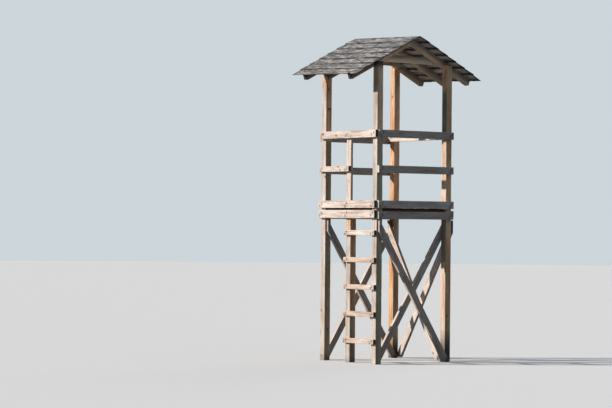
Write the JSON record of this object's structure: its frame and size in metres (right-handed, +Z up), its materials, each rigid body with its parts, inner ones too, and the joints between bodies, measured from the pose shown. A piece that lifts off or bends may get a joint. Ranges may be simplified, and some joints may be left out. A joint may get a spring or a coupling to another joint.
{
  "type": "lifeguard tower",
  "caption": "Timber lifeguard tower with four posts, a railed deck reached by a half-width ladder, cross-braced legs and a lapped board gable roof.",
  "frame": {"origin": "on the ground under the middle of the tower", "axes": "+Z up, the ladder side faces -Y, the ridge runs along X"},
  "size_m": [1.454, 2.2778, 4.6153],
  "materials": {
    "frame_timber": "sawn softwood, sun-bleached, dry and uncoated",
    "deck_boards": "walked-on sawn softwood, grey-brown and uncoated",
    "roof_timber": "sawn softwood, browned, dry and uncoated",
    "roof_boards": "weathered grey-brown lapped boards, rough and uncoated"
  },
  "bodies": {
    "root": {"deck_boards": "deck_boards", "entry_upright": "frame_timber", "front_kick_board": "frame_timber", "front_left_post": "frame_timber", "front_mid_rail": "frame_timber", "front_right_post": "frame_timber", "front_rim_board": "frame_timber", "front_roof_boards": "roof_boards", "front_top_rail": "frame_timber", "ladder_post": "frame_timber", "ladder_rung_1": "frame_timber", "ladder_rung_2": "frame_timber", "ladder_rung_3": "frame_timber", "ladder_rung_4": "frame_timber", "ladder_rung_5": "frame_timber", "left_bearer": "frame_timber", "left_front_rafter": "roof_timber", "left_inner_brace": "frame_timber", "left_kick_board": "frame_timber", "left_mid_rail": "frame_timber", "left_outer_brace": "frame_timber", "left_rear_rafter": "roof_timber", "left_rim_board": "frame_timber", "left_tie_beam": "roof_timber", "left_top_rail": "frame_timber", "middle_front_rafter": "roof_timber", "middle_rear_rafter": "roof_timber", "rear_inner_brace": "frame_timber", "rear_kick_board": "frame_timber", "rear_left_post": "frame_timber", "rear_outer_brace": "frame_timber", "rear_right_post": "frame_timber", "rear_rim_board": "frame_timber", "rear_roof_boards": "roof_boards", "rear_top_rail": "frame_timber", "right_bearer": "frame_timber", "right_front_rafter": "roof_timber", "right_inner_brace": "frame_timber", "right_kick_board": "frame_timber", "right_mid_rail": "frame_timber", "right_outer_brace": "frame_timber", "right_rear_rafter": "roof_timber", "right_rim_board": "frame_timber", "right_tie_beam": "roof_timber", "right_top_rail": "frame_timber"}
  },
  "joints": []
}
